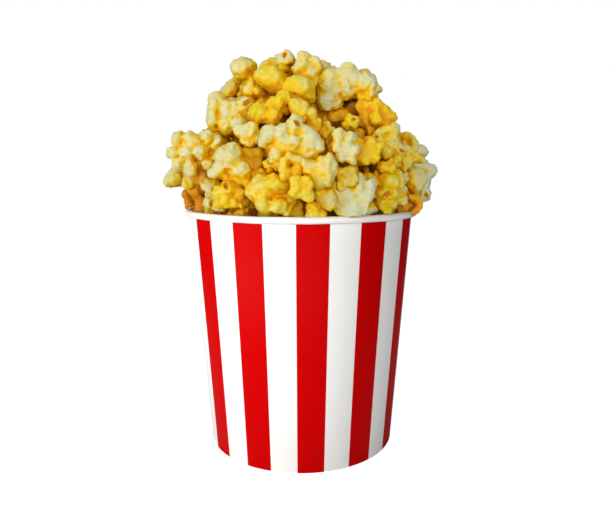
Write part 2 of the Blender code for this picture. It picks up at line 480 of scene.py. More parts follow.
EYE_DISTANCE = 0.3939
EYE_HEIGHT = 0.1873
EYE_DIP_DEG = 8.565
EYE_SWING_DEG = 0.463
LENS_MM = 33.39
SENSOR_MM = 36.0
LIT_POINT = (0.0, 0.0, 0.10)
STUDIO_LIGHTS = (
    # Name, place, size in metres, power in watts, and colour.
    ("key_light", (-1.16, -0.80, 0.31), 0.6, 16.0, (1.0, 0.985, 0.95)),
    ("front_light", (0.15, -1.43, 0.37), 0.7, 10.8, (1.0, 0.99, 0.97)),
    ("top_light", (0.0, 0.20, 1.35), 0.7, 4.8, (1.0, 0.99, 0.96)),
    ("heap_light", (0.38, -1.25, 0.46), 1.1, 9.4, (0.94, 1.0, 0.97)),
)
WHITE = (1.0, 1.0, 1.0, 1.0)
STUDIO_AIR = (0.85, 0.93, 1.0, 1.0)
STUDIO_AIR_STRENGTH = 0.10


def place_camera():
    bpy.ops.object.camera_add(
        location=(0.0, -EYE_DISTANCE, EYE_HEIGHT),
        rotation=(math.radians(90 - EYE_DIP_DEG), 0.0, -math.radians(EYE_SWING_DEG)),
    )
    camera = bpy.context.object
    camera.name = "camera"
    camera.data.lens = LENS_MM
    camera.data.sensor_width = SENSOR_MM
    camera.data.clip_start = 10 * MM
    bpy.context.scene.camera = camera


def add_soft_light(name, place, size, power, colour):
    """A square soft light at a place, turned to face the bucket."""
    bpy.ops.object.light_add(type="AREA", location=place)
    light = bpy.context.object
    light.name = name
    light.data.shape = "SQUARE"
    light.data.size = size
    light.data.energy = power
    light.data.color = colour
    aim = Vector(place) - Vector(LIT_POINT)
    light.rotation_euler = aim.to_track_quat("Z", "Y").to_euler()
    return light


def light_studio(lit_heap):
    """Soft lights all round, of which the last shines on the popcorn alone, in a pale room."""
    lights = [add_soft_light(*light) for light in STUDIO_LIGHTS]
    lights[-1].light_linking.receiver_collection = lit_heap
    world = bpy.data.worlds.new("studio_air")
    bpy.context.scene.world = world
    world.use_nodes = True
    make = Builder(world.node_tree)
    dim = world.node_tree.nodes["Background"]
    make.feed(dim, {"Color": STUDIO_AIR, "Strength": STUDIO_AIR_STRENGTH})
    seen = make.add("Background", {"Color": WHITE})
    by_camera = make.add("LightPath").outputs["Is Camera Ray"]
    mix = make.add("MixShader", {"Fac": by_camera, 1: dim.outputs[0], 2: seen.outputs[0]})
    make.feed(world.node_tree.nodes["World Output"], {"Surface": mix.outputs["Shader"]})


# --- materials ---------------------------------------------------------------------------------


class Builder:
    """Short ways to add the nodes that the finishes use."""

    def __init__(self, tree):
        self.tree = tree

    def feed(self, node, inputs):
        """Links or sets a node's inputs, each given by its name or number."""
        for name, value in inputs.items():
            if isinstance(value, bpy.types.NodeSocket):
                self.tree.links.new(value, node.inputs[name])
            else:
                node.inputs[name].default_value = value

    def add(self, kind, inputs=None, **settings):
        node = self.tree.nodes.new("ShaderNode" + kind)
        for key, value in settings.items():
            setattr(node, key, value)
        self.feed(node, inputs or {})
        return node

    def math(self, operation, *values):
        node = self.add("Math", dict(enumerate(values)), operation=operation)
        return node.outputs[0]

    def total(self, start, *parts):
        """The start value plus each part, given as its weight and its value."""
        for weight, value in parts:
            start = self.math("MULTIPLY_ADD", value, weight, start)
        return start

    def mix(self, factor, first, second):
        """Mixes two colours. The node's colour sockets go by number, as their names are shared."""
        return self.add("Mix", {"Factor": factor, 6: first, 7: second}, data_type="RGBA").outputs[2]

    def range(self, value, low, high, to_low=0.0, to_high=1.0, smooth=True):
        values = dict(enumerate((value, low, high, to_low, to_high)))
        node = self.add("MapRange", values, interpolation_type="SMOOTHSTEP" if smooth else "LINEAR")
        return node.outputs[0]

    def object_place(self):
        return self.add("TexCoord").outputs["Object"]

    def noise(self, place, scale, detail=2.0, roughness=0.5):
        inputs = {"Vector": place, "Scale": scale, "Detail": detail, "Roughness": roughness}
        return self.add("TexNoise", inputs).outputs["Fac"]

    def waver(self, place, scale, detail=2.0, roughness=0.5):
        """Noise that goes both ways from nothing."""
        return self.math("SUBTRACT", self.noise(place, scale, detail, roughness), 0.5)

    def attribute(self, name):
        return self.add("Attribute", attribute_name=name).outputs["Fac"]

    def above_zero(self, value):
        return self.math("MAXIMUM", value, 0.0)

    def dress(self, shader, look, strength, distance, specular):
        """Feeds a look's colour, roughness and height to a shader."""
        height = look.outputs["Height"]
        bump = self.add("Bump", {"Strength": strength, "Distance": distance, "Height": height})
        self.feed(shader, {
            "Base Color": look.outputs["Colour"],
            "Roughness": look.outputs["Roughness"],
            "Normal": bump.outputs["Normal"],
            "Specular IOR Level": specular,
        })


def new_group(name, inputs, outputs):
    """A node group whose sockets are given as (name, kind, value) in and (name, kind) out."""
    group = bpy.data.node_groups.new(name, "ShaderNodeTree")
    for socket, kind, value in inputs:
        item = group.interface.new_socket(socket, in_out="INPUT", socket_type="NodeSocket" + kind)
        item.default_value = value
    for socket, kind in outputs:
        group.interface.new_socket(socket, in_out="OUTPUT", socket_type="NodeSocket" + kind)
    given = group.nodes.new("NodeGroupInput").outputs
    result = group.nodes.new("NodeGroupOutput")
    return group, Builder(group), given, result


def make_board_grain():
    """Paper fibres, faint mottling and rub marks, for every board surface."""
    group, make, given, result = new_group(
        "board_grain",
        [("Colour", "Color", WHITE), ("Mottle", "Float", 0.03), ("Sheen", "Float", 0.4)],
        [("Colour", "Color"), ("Roughness", "Float"), ("Height", "Float")],
    )
    place = make.object_place()
    along = make.add("Mapping", {"Vector": place, "Scale": (1.0, 1.0, 0.35)}).outputs["Vector"]
    fibres = make.noise(along, 1400.0, 3.0, 0.6)
    cloud = make.noise(place, 28.0, 3.0, 0.55)
    mottle = make.math("MULTIPLY", make.math("SUBTRACT", cloud, 0.5), given["Mottle"])
    lightness = make.total(1.0, (2.0, mottle))
    shade = make.add("VectorMath", {0: given["Colour"], "Scale": lightness}, operation="SCALE")
    make.feed(result, {
        "Colour": shade.outputs[0],
        "Roughness": make.total(given["Sheen"], (0.12, fibres), (1.0, mottle)),
        "Height": make.total(fibres, (0.4, cloud)),
    })
    return group


def new_material(name):
    material = bpy.data.materials.new(name)
    material.use_nodes = True
    return material, Builder(material.node_tree), material.node_tree.nodes["Principled BSDF"]


BOARD_RELIEF = 0.2 * MM
PLAIN_BOARD = (0.84, 0.83, 0.79, 1.0)


def make_board(name, grain, colour, sheen, mottle=0.03):
    """Board of one colour, with its grain."""
    material, make, shader = new_material(name)
    inputs = {"Colour": colour, "Mottle": mottle, "Sheen": sheen}
    look = make.add("Group", inputs, node_tree=grain)
    make.dress(shader, look, 0.12, BOARD_RELIEF, 0.35)
    return material


STRIPES = 24
STRIPE_PHASE_DEG = -62.4
INK_EDGE = 0.004
INK_WANDER = 0.008
PRINT_WHITE = (0.90, 0.90, 0.885, 1.0)
PRINT_RED = (0.56, 0.0, 0.0005, 1.0)


def make_striped_print(grain):
    """Upright stripes printed round the bucket, white and red by turns, on coated board."""
    material, make, shader = new_material("striped_print")
    place = make.object_place()
    parts = make.add("SeparateXYZ", {0: place})
    turn = make.math("ARCTAN2", parts.outputs["X"], make.math("MULTIPLY", parts.outputs["Y"], -1.0))
    from_first = make.math("SUBTRACT", turn, math.radians(STRIPE_PHASE_DEG))
    counted = make.math("DIVIDE", from_first, 2 * math.pi / STRIPES)
    in_pair = make.math("FLOORED_MODULO", counted, 2.0)
    # How far inside its red stripe a point is, in stripe widths: the ink's edge is a hair soft.
    from_middle = make.math("ABSOLUTE", make.math("SUBTRACT", in_pair, 0.5))
    inside = make.math("SUBTRACT", 0.5, from_middle)
    inked = make.total(inside, (INK_WANDER, make.waver(place, 900.0)))
    red = make.range(inked, -INK_EDGE, INK_EDGE)
    ink = make.mix(red, PRINT_WHITE, PRINT_RED)
    look = make.add("Group", {"Colour": ink, "Mottle": 0.02, "Sheen": 0.42}, node_tree=grain)
    make.dress(shader, look, 0.10, BOARD_RELIEF, 0.03)
    return material


def make_corn_look():
    """Popped corn: pale puffed lobes, brown at the hull, golden by their own tone, and golden to brown
    by painted shade in hollows, creases, gaps and where they face away.
    """
    group, make, given, result = new_group(
        "corn_look",
        [
            ("Pale", "Color", (0.455, 0.465, 0.30, 1)),
            ("Golden", "Color", (0.58, 0.385, 0.005, 1)),
            ("Olive", "Color", (0.545, 0.40, 0.004, 1)),
            ("Toasted_and_Shaded", "Color", (0.58, 0.26, 0.002, 1)),
            ("Deep_Shade", "Color", (0.49, 0.185, 0.003, 1)),
            ("Husk", "Color", (0.36, 0.125, 0.004, 1)),
        ],
        [("Colour", "Color"), ("Roughness", "Float"), ("Height", "Float")],
    )
    place = make.object_place()
    butter_and_shade = make.attribute("butter_and_shade")
    hull = make.attribute("hull")
    # Painted shade: corn in the crowded gaps between flakes turns golden and then brown.
    gap_shade = make.range(make.attribute("gap_shade"), 0.10, 0.66, 0.0, 0.92, False)
    patches = make.waver(place, 80.0, 2.5, 0.55)
    spots = make.waver(place, 215.0)
    # Painted shade: corn that faces away from the heap's outside turns golden and browner, as a shaded
    # side looks.
    turned_shade = make.above_zero(make.math("SUBTRACT", 0.88, make.attribute("facing")))
    # Painted crevice shade: each flake's hollows and creases turn golden and browner.
    hollow = make.above_zero(make.attribute("valley"))
    fold = make.above_zero(make.attribute("crease"))
    # Gold mixes the flake's own tone (butter, patches, spots) with painted shade (gaps, turned faces,
    # hollows, creases).
    gold = make.total(
        0.205, (0.82, butter_and_shade), (0.95, patches), (0.60, spots), (0.75, turned_shade), (0.40, hollow),
        (0.32, fold), (0.9, gap_shade),
    )
    # Deep is mostly painted shade with a little of the flake's own tone. It paints toasted and then
    # deep brown.
    deep = make.total(
        0.0, (1.2, gap_shade), (0.55, turned_shade), (0.24, hollow), (0.24, fold), (0.50, butter_and_shade),
        (0.25, spots),
    )
    # Golden comes before toasted, so that no pale corn turns brown without yellowing first.
    drift = make.range(make.noise(place, 26.0, 1.0), 0.40, 0.58)
    golden = make.mix(drift, given["Golden"], given["Olive"])
    yellow = make.math("MAXIMUM", make.range(gold, -0.05, 1.15), make.range(deep, 0.10, 0.55))
    colour = make.mix(yellow, given["Pale"], golden)
    colour = make.mix(make.range(deep, 0.40, 1.00), colour, given["Toasted_and_Shaded"])
    colour = make.mix(make.range(deep, 0.95, 1.60), colour, given["Deep_Shade"])
    # The hull shows as a ragged brown spot with a toasted edge.
    colour = make.mix(make.range(hull, 0.0, 0.55), colour, given["Toasted_and_Shaded"])
    ragged = make.total(hull, (0.5, make.noise(place, 700.0, 2.0)))
    brown = make.math("MULTIPLY", make.range(ragged, 0.55, 1.0), make.range(hull, 0.1, 0.6))
    rough = make.range(gold, 0.0, 1.2, 0.62, 0.42, False)
    pimples = make.add("TexVoronoi", {"Vector": place, "Scale": 1500.0}).outputs["Distance"]
    make.feed(result, {
        "Colour": make.mix(brown, colour, given["Husk"]),
        "Roughness": make.total(rough, (-0.15, brown)),
        "Height": make.total(make.noise(place, 700.0, 3.0, 0.6), (0.35, pimples)),
    })
    return group


# The corn deep in the heap, in painted shade: toasted brown even where it isn't hollow, for the shadow
# it lies in.
DEEP_SHADED_SKIN = (0.72, 0.32, 0.016, 1)
SHADED_DEEP_CORN = {
    "Pale": DEEP_SHADED_SKIN,
    "Golden": DEEP_SHADED_SKIN,
    "Olive": DEEP_SHADED_SKIN,
    "Toasted_and_Shaded": (0.60, 0.22, 0.008, 1),
    "Deep_Shade": (0.42, 0.145, 0.006, 1),
}


def make_popped_corn(name, look, colours):
    """Popped corn's shader: dull, bumpy, and a little translucent."""
    material, make, shader = new_material(name)
    make.dress(shader, make.add("Group", colours, node_tree=look), 0.6, 0.5 * MM, 0.12)
    make.feed(shader, {
        "Subsurface Weight": 0.25,
        "Subsurface Radius": (1.0, 0.75, 0.22),
        "Subsurface Scale": 2.6 * MM,
    })
    return material


# --- the bucket --------------------------------------------------------------------------------

BOARD = 0.6 * MM
CURL_RADIUS = 2.1 * MM
CURL_TURN_DEG = 320
CURL_STEPS = 14
CUT_EDGE = 0.12 * MM
BEVEL_FROM_DEG = 50
SHARP_FROM_DEG = 45
FOLD_STEPS = 4
HEM_GAP = 0.3 * MM
HEM_TOP = 7.6 * MM
SKIRT_GAP = 0.3 * MM
WALL_SIDES = 192
LAP_WIDTH_DEG = 7.0
LAP_BOARD = 0.32 * MM
LAP_GLUE = 0.05 * MM

wall_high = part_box("bucket_wall")[1]
base_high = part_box("bucket_base")[1]
RIM_HEIGHT = wall_high.z
RIM_RADIUS = wall_high.x
CURL_MIDDLE = (RIM_RADIUS - CURL_RADIUS, RIM_HEIGHT - CURL_RADIUS)
CURL_START = CURL_MIDDLE[1] - 0.5 * MM
WALL_TOP_RADIUS = CURL_MIDDLE[0] - CURL_RADIUS + BOARD / 2
BASE_RADIUS = base_high.x + SKIRT_GAP + BOARD / 2


def wall_radius(height):
    """Radius of the middle of the wall's board at a height."""
    share = height / CURL_MIDDLE[1]
    return BASE_RADIUS + share * (WALL_TOP_RADIUS - BASE_RADIUS)


def select_rings(mesh, low, high):
    """In edit mode, selects the vertices whose height is in a range, and nothing else."""
    bpy.ops.mesh.select_all(action="DESELECT")
    work = bmesh.from_edit_mesh(mesh)
    for vertex in work.verts:
        vertex.select = low < vertex.co.z < high
    work.select_flush_mode()
    bmesh.update_edit_mesh(mesh)


def pull_ring(start, *path):
    """Extrudes the selected ring of edges along a path. Each place is a radius and a height."""
    radius, height = start
    for next_radius, next_height in path:
        bpy.ops.mesh.extrude_edges_move()
        ratio = next_radius / radius
        bpy.ops.transform.resize(value=(ratio, ratio, 1.0), center_override=(0.0, 0.0, height))
        bpy.ops.transform.translate(value=(0.0, 0.0, next_height - height))
        radius, height = next_radius, next_height


def finish_shell(shell, thickness, offset, inner_slot=0):
    """Gives an open surface its board thickness and eases its cut edges."""
    apply_modifier(
        shell, "SOLIDIFY", thickness=thickness, offset=offset, use_even_offset=True,
        material_offset=inner_slot, material_offset_rim=inner_slot,
    )
    apply_modifier(
        shell, "BEVEL", width=CUT_EDGE, segments=1, limit_method="ANGLE",
        angle_limit=math.radians(BEVEL_FROM_DEG),
    )
    shell.data.shade_smooth()
    shell.data.set_sharp_from_angle(angle=math.radians(SHARP_FROM_DEG))


def to_piece(piece, name, materials, slot, *nodes):
    """Names a finished piece, gives it its finishes, and ties it to the frame."""
    piece.name = name
    piece.data.name = name
    piece.data.materials.clear()
    for material in materials:
        piece.data.materials.append(material)
    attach(piece, "root")
    if nodes:
        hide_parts(*nodes)


def model_wall(striped, white):
    """The cone of board, with its hem folded in below. It ends where the curl begins."""
    fold = BOARD / 2
    deselect_all()
    bpy.ops.mesh.primitive_cone_add(
        vertices=WALL_SIDES, radius1=wall_radius(fold), radius2=wall_radius(CURL_START),
        depth=CURL_START - fold, end_fill_type="NOTHING",
        location=(0.0, 0.0, (CURL_START + fold) / 2),
    )
    wall = bpy.context.object
    bpy.ops.object.transform_apply(location=True, rotation=True, scale=True)
    hem_inset = 2 * (BOARD + HEM_GAP)
    path = []
    for step in range(1, FOLD_STEPS + 1):
        share = (1 - math.cos(math.pi * step / FOLD_STEPS)) / 2
        path.append((wall_radius(fold) - hem_inset * share, fold))
    path.append((wall_radius(HEM_TOP) - hem_inset, HEM_TOP))
    bpy.ops.object.mode_set(mode="EDIT")
    select_rings(wall.data, -1.0, fold + 0.01 * MM)
    pull_ring((wall_radius(fold), fold), *path)
    bpy.ops.object.mode_set(mode="OBJECT")
    finish_shell(wall, BOARD, 0.0, inner_slot=1)
    to_piece(wall, "bucket_wall_board", (striped, white), "striped_board", "bucket_wall")


def rim_sag(turn):
    """How far the curl sinks at a turn round the rim, a little unevenly as rolled board does."""
    waves = math.sin(5 * turn + 0.7) + 0.6 * math.sin(11 * turn + 2.0) + 0.4 * math.sin(23 * turn)
    return abs(0.10 * MM * waves)


def model_rim(white):
    """The rolled rim: board curled outwards in a tight ring."""
    start = (wall_radius(CURL_START), CURL_START)
    deselect_all()
    bpy.ops.mesh.primitive_circle_add(
        vertices=WALL_SIDES, radius=start[0], fill_type="NOTHING", location=(0.0, 0.0, start[1]),
    )
    rim = bpy.context.object
    bpy.ops.object.transform_apply(location=True, rotation=True, scale=True)
    curl = CURL_RADIUS - BOARD / 2
    path = []
    for step in range(CURL_STEPS + 1):
        angle = math.radians(180 - CURL_TURN_DEG * step / CURL_STEPS)
        across, up = curl * math.cos(angle), curl * math.sin(angle)
        path.append((CURL_MIDDLE[0] + across, CURL_MIDDLE[1] + up))
    bpy.ops.object.mode_set(mode="EDIT")
    bpy.ops.mesh.select_all(action="SELECT")
    pull_ring(start, *path)
    bpy.ops.object.mode_set(mode="OBJECT")
    for vertex in rim.data.vertices:
        if vertex.co.to_2d().length > CURL_MIDDLE[0] - 0.2 * MM:
            vertex.co.z -= rim_sag(math.atan2(vertex.co.x, -vertex.co.y))
    finish_shell(rim, BOARD, 0.0)
    to_piece(rim, "rolled_rim", (white,), "white_board")


def model_lap(striped, white):
    """The wall's lapped edge: a strip of the board glued over its start, up the back."""
    low = 0.2 * MM
    high = CURL_MIDDLE[1] - CURL_RADIUS - 0.4 * MM
    deselect_all()
    bpy.ops.mesh.primitive_plane_add(size=1.0, location=(0.0, 0.0, 0.0))
    lap = bpy.context.object
    bpy.ops.object.mode_set(mode="EDIT")
    bpy.ops.mesh.select_all(action="SELECT")
    bpy.ops.mesh.subdivide(number_cuts=6)
    bpy.ops.object.mode_set(mode="OBJECT")
    for vertex in lap.data.vertices:
        height = low + (vertex.co.y + 0.5) * (high - low)
        turn = math.radians(180.0 + vertex.co.x * LAP_WIDTH_DEG)
        radius = wall_radius(height) + BOARD / 2 + LAP_GLUE
        vertex.co = (radius * math.sin(turn), -radius * math.cos(turn), height)
    work = bmesh.new()
    work.from_mesh(lap.data)
    bmesh.ops.recalc_face_normals(work, faces=work.faces)
    if sum(face.normal.y for face in work.faces) < 0:
        bmesh.ops.reverse_faces(work, faces=work.faces)
    work.to_mesh(lap.data)
    work.free()
    finish_shell(lap, LAP_BOARD, 1.0)
    to_piece(lap, "wall_lap_seam", (striped, white), "striped_board")


# --- the heap ----------------------------------------------------------------------------------
# Each flake that shows in front: its kind, then across, out and up of its middle, and its width,
# all in millimetres; then its turns about the across, out and up axes in degrees, and its
# butter tone: 0 is pale and 1 deep golden, less than 0 paler still, and more than 1 a painted shade of
# toasted brown, for flakes in shadowed gaps.

FRONT_FLAKES = (
    # Top of the heap.
    ("knob", -30.5, 40, 240.5, 19.5, (0, -8, 0), 0.30),
    ("ball", -17, 53, 239, 19.5, (0, 10, 0), 0.80),
    ("tooth", -10, 39, 251.5, 13, (0, 12, 0), 0.15),
    ("wedge", 4.5, 43, 246, 17.5, (0, 20, 0), 0.30),
    ("tooth", 16.5, 38, 245.5, 6.5, (30, 60, 0), 0.80),
    ("dome", -2, 55, 231.5, 20.5, (-5, 4, 0), 0.78),
    ("saddle", 26.5, 41, 234.5, 41, (0, 4, 0), 0.12),
    ("folded", -17, 63, 222, 24, (0, 0, 0), 0.85),
    ("ball", 0, 67, 220, 15.5, (0, 40, 0), 0.62),
    # Left shoulder.
    ("pitted", -40.5, 45, 219.5, 29, (0, 0, 0), 0.10),
    ("wedge", -29.5, 64, 207, 14.5, (0, 150, 0), 0.25),
    ("cluster", -60, 55, 196.5, 34, (0, 0, 8), -0.05),
    ("ball", -82.5, 7, 181.5, 18, (0, -30, 0), 0.05),
    ("wedge", -66, 34, 185, 17, (0, 75, 0), 0.50),
    # Middle.
    ("star", -6, 78, 200.5, 35, (0, 0, 0), 0.18),
    ("column", 6, 70, 212, 10, (0, 0, 0), 0.75),
    ("berry", 43.5, 53, 217.5, 25, (0, 10, 0), 0.90),
    ("tooth", 28, 62, 214, 10, (0, 60, 0), 0.90),
    ("butterfly", -40, 66, 189, 25, (0, 0, 0), 0.15),
    ("wedge", -29, 62, 193, 15, (0, 90, 0), 0.60),
    ("drum", -41, 68, 175, 19, (0, 0, 0), 0.85),
    ("column", -48, 60, 167.5, 9.5, (0, 88, 0), 0.20),
    ("bun", -14.5, 75, 172, 32, (0, 0, 0), 0.62),
    ("ring", -6, 80, 187.5, 16, (10, 10, 12), 0.62),
    ("wedge", 0, 81, 178, 14, (0, 0, 0), 0.80),
    ("fan", 10, 83, 185, 20, (0, 0, 0), 0.50),
    ("ball", 14, 77, 172, 15, (0, 30, 0), 0.45),
    ("wedge", 8, 71, 164, 13, (0, 80, 0), 0.70),
    ("wings", 28, 71, 170.5, 27, (0, 0, 0), 0.00),
    ("column", 17, 74, 194, 9, (0, 10, 0), 0.80),
    ("wedge", 25, 75, 183, 13, (0, 70, 0), 0.45),
    # Right shoulder.
    ("slab", 24, 76, 200, 21, (0, 74, 0), 0.25),
    ("slab", 35, 72, 197.5, 22, (0, -6, 0), 0.90),
    ("pitted", 51, 56, 202, 21, (0, 65, 0), 0.35),
    ("crescent", 32, 71, 189, 12, (0, -150, 0), 0.60),
    ("hood", 50.5, 58, 174.5, 19.5, (0, 4, 0), 0.75),
    ("fan", 63.5, 46, 194.5, 16, (0, 160, 0), 0.50),
    ("pitted", 77, 10, 178.5, 26, (0, 95, 0), -0.90),
    ("knob", 81, 5, 195, 13, (0, 20, 0), -0.80),
    ("crescent", 71, 38, 165.5, 9.5, (0, -12, 0), 1.45),
    # Row behind the rim, and flakes that show in the gaps.
    # The next five have butter above 1: painted toasted brown as painted shade for the shadowed gaps
    # they fill.
    ("bun", 37, 34, 222, 22, (0, 0, 0), 2.4),
    ("wedge", -6, 31, 243.5, 15, (0, 40, 0), 2.0),
    ("wedge", 66, 33, 166, 15, (0, 40, 0), 2.4),
    ("bun", -72, 2, 167, 21, (0, 70, 0), 3.2),
    ("wedge", -66, 20, 163, 16, (0, 90, 0), 3.0),
    ("wedge", -56, 32, 161, 13, (0, 90, 0), 0.70),
    ("folded", -38, 55, 161, 14, (0, 0, 0), 0.70),
    ("wedge", -4, 66, 165, 11, (0, 0, 0), 0.70),
    ("berry", 14, 67, 207, 14, (0, 60, 0), 0.70),
    ("ball", 39, 61, 181, 12, (0, 0, 0), 0.70),
    ("folded", 51, 58, 191, 14, (0, 0, 0), 0.80),
    ("ball", -23, 70, 183, 12, (0, 0, 0), 0.75),
    ("tooth", -17, 74, 190, 9, (0, 0, 0), 0.55),
)

# Hollows between and beside the front flakes that no other flake fills: across, out, up and
# radius in millimetres.
HOLLOWS = (
    (-74, 4, 170, 12), (-74, 28, 168, 14), (-66, 44, 166, 10), (-20, 25, 257, 10),
    (-43, 56, 204, 12), (27, 58, 222, 11), (38, 60, 209, 8), (72, 8, 214, 12), (68, -18, 214, 12),
    (15, 72, 199, 7), (42, 66, 184, 6), (-12, 52, 244, 6), (-24, 64, 217, 5), (72, 42, 180, 7),
    (-73, -4, 214, 10),
)
# How much of each push a flake follows along each axis: those in front hardly leave their places.
FRONT_FREEDOM = (0.05, 0.35, 0.05)
FILLER_FREEDOM = (1.0, 1.0, 1.0)
FRONT_SWELL = 1.05
HEAP_SEED = 11


class Flake:
    """One flake in the heap: its kind, place, turn, size and butter tone, which above 1 is painted
    shade.
    """

    def __init__(self, kind, place, turn, size, butter_and_shade, freedom):
        self.kind = kind
        self.place = np.array(place, dtype=float)
        self.turn = turn
        self.size = size
        self.butter_and_shade = butter_and_shade
        self.freedom = np.array(freedom, dtype=float)
        lobes = FLAKES[kind]["lobes"]
        offsets = np.array([(lobe[0], -lobe[1], lobe[2]) for lobe in lobes]) * MM * size
        self.offsets = offsets @ np.array(turn.to_matrix()).T
        self.radii = np.array([min(lobe_size(lobe)[0]) for lobe in lobes]) * MM * size


def place_front_flakes(widths):
    """The flakes that stand in front, each grown from its model's width to its own."""
    flakes = []
    for kind, across, out, up, width, turns, butter_and_shade in FRONT_FLAKES:
        tilt, roll, swing = (math.radians(turn) for turn in turns)
        turn = Euler((tilt, roll, swing), "XYZ").to_quaternion()
        size = FRONT_SWELL * width * MM / widths[kind]
        place = (across * MM, -out * MM, up * MM)
        flakes.append(Flake(kind, place, turn, size, butter_and_shade, FRONT_FREEDOM))
    return flakes


FILLER_KINDS = (
    "saddle", "star", "pitted", "cluster", "butterfly", "bun", "wedge", "fan", "wings", "dome",
    "ball", "folded", "knob", "berry", "crescent", "column", "hood", "drum", "scroll", "slab",
    "ring",
)
FILLER_LAYERS = (
    # Depth below the heap's surface, spacing, butter (higher in deeper layers, a painted shade of
    # depth), and room round each hollow.
    (10.5 * MM, 17.5 * MM, 0.52, 6.5 * MM),
    (17 * MM, 15 * MM, 1.1, 3.0 * MM),
    (27 * MM, 15 * MM, 1.7, 0.0),
)
FRONT_INSET = 7 * MM
FRONT_REACH = 40 * MM
FILLER_TRIES = 6000
LARGE_FLAKE = 26 * MM
LARGE_SIZES = (0.72, 0.98)
SMALL_SIZES = (0.85, 1.2)
BUTTER_SPREAD = 0.28


def heap_points(chance, count):
    """Points spread at random over the surface of the heap's CAD solid, above the rim."""
    mesh = frame["nodes"]["popcorn"].data
    mesh.calc_loop_triangles()
    faces = [
        tri for tri in mesh.loop_triangles
        if sum(mesh.vertices[i].co.z for i in tri.vertices) / 3 > RIM_HEIGHT + 1.5 * MM
    ]
    points = []
    for tri in chance.choices(faces, weights=[tri.area for tri in faces], k=count):
        low, high = sorted((chance.random(), chance.random()))
        first, second, third = (mesh.vertices[i].co for i in tri.vertices)
        points.append(first * low + second * (high - low) + third * (1 - high))
    return points


def inward(point, depth):
    """Moves a point of the heap's surface towards the heap's own axis and middle."""
    middle = Vector((0.0, 0.0, RIM_HEIGHT + 0.25 * (point.z - RIM_HEIGHT)))
    return point + (middle - point).normalized() * depth


def fill_heap(flakes, chance, widths, inset, spacing, butter_and_shade, room):
    """Adds flakes at an inset below the heap's surface, wherever there is room between others."""
    taken = [Vector(flake.place) for flake in flakes]
    hollows = []
    for across, out, up, radius in HOLLOWS:
        hollows.append((Vector((across * MM, -out * MM, up * MM)), radius * MM + room))
    for point in heap_points(chance, FILLER_TRIES):
        in_front = min(1.0, max(0.0, -point.y / FRONT_REACH))
        place = inward(point, inset + FRONT_INSET * in_front)
        if any((place - other).length < spacing for other in taken):
            continue
        if any((place - hollow).length < radius for hollow, radius in hollows):
            continue
        kind = chance.choice(FILLER_KINDS)
        size = chance.uniform(*(LARGE_SIZES if widths[kind] > LARGE_FLAKE else SMALL_SIZES))
        turn = Euler([chance.uniform(-math.pi, math.pi) for _ in range(3)]).to_quaternion()
        tone = max(0.0, chance.gauss(butter_and_shade, BUTTER_SPREAD))
        flakes.append(Flake(kind, place, turn, size, tone, FILLER_FREEDOM))
        taken.append(place)


# A lobe settles this close to the middle of the rim's curl. What still reaches the board is
# pressed in afterwards.
RIM_CLEARANCE = CURL_RADIUS - 1.2 * MM
HEAP_SKIN = 2.2 * MM
LOBE_OVERLAP = 0.86
NEIGHBOUR_REACH = 45 * MM
SETTLE_ROUNDS = 40
# How much of each move a flake makes in one round: off its neighbours, off the bucket, and back
# towards where it started.
STEP_APART = 0.6
STEP_OFF = 0.7
STEP_BACK = 0.03


def round_axis(places):
    """How far each place is from the bucket's axis, and which way that is."""
    reach = np.hypot(places[:, 0], places[:, 1])
    return reach, places[:, :2] / np.maximum(reach, 1e-6)[:, None]


def round_curl(reach, height):
    """Each place from the middle of the rim's curl, outwards and up, and its distance from it."""
    from_curl = np.stack((reach - CURL_MIDDLE[0], height - CURL_MIDDLE[1]), axis=1)
    return from_curl, np.maximum(np.linalg.norm(from_curl, axis=1), 1e-6)


def push_off_bucket(centres, radii):
    """How far each lobe has to move to clear the rolled rim and the wall's inside."""
    push = np.zeros_like(centres)
    reach, outward = round_axis(centres)
    from_curl, gap = round_curl(reach, centres[:, 2])
    depth = np.clip(radii + RIM_CLEARANCE - gap, 0.0, None)
    direction = from_curl / gap[:, None]
    push[:, :2] += outward * (direction[:, 0] * depth)[:, None]
    push[:, 2] += direction[:, 1] * depth
    inner = WALL_TOP_RADIUS - BOARD
    below = centres[:, 2] < CURL_MIDDLE[1]
    over = np.clip(reach + radii - inner, 0.0, None) * below
    push[:, :2] -= outward * over[:, None]
    return push


def hold_in_heap(centres, radii, tree):
    """How far each lobe has to move to lie within the heap's CAD solid."""
    push = np.zeros_like(centres)
    for index, (centre, radius) in enumerate(zip(centres, radii)):
        if centre[2] < RIM_HEIGHT:
            continue
        surface, normal, _, away = tree.find_nearest(Vector(centre))
        inside = (surface - Vector(centre)).dot(normal)
        depth = away if inside > 0 else -away
        if depth < radius + HEAP_SKIN:
            push[index] = np.array(normal) * (depth - radius - HEAP_SKIN)
    return push


def push_apart(index, owner, places, centres, radii):
    """How far one flake has to move off the neighbours that its lobes run into."""
    mine = owner == index
    close = (np.abs(places[owner] - places[index]).max(axis=1) < NEIGHBOUR_REACH) & ~mine
    gaps = centres[mine][:, None, :] - centres[close][None, :, :]
    length = np.linalg.norm(gaps, axis=2)
    depth = radii[mine][:, None] * LOBE_OVERLAP + radii[close][None, :] * LOBE_OVERLAP - length
    depth = np.clip(depth, 0.0, None)
    if not depth.any():
        return np.zeros(3)
    direction = gaps / np.maximum(length, 1e-6)[:, :, None]
    weight = depth[:, :, None]
    return (direction * weight * weight).sum(axis=(0, 1)) / depth.sum()


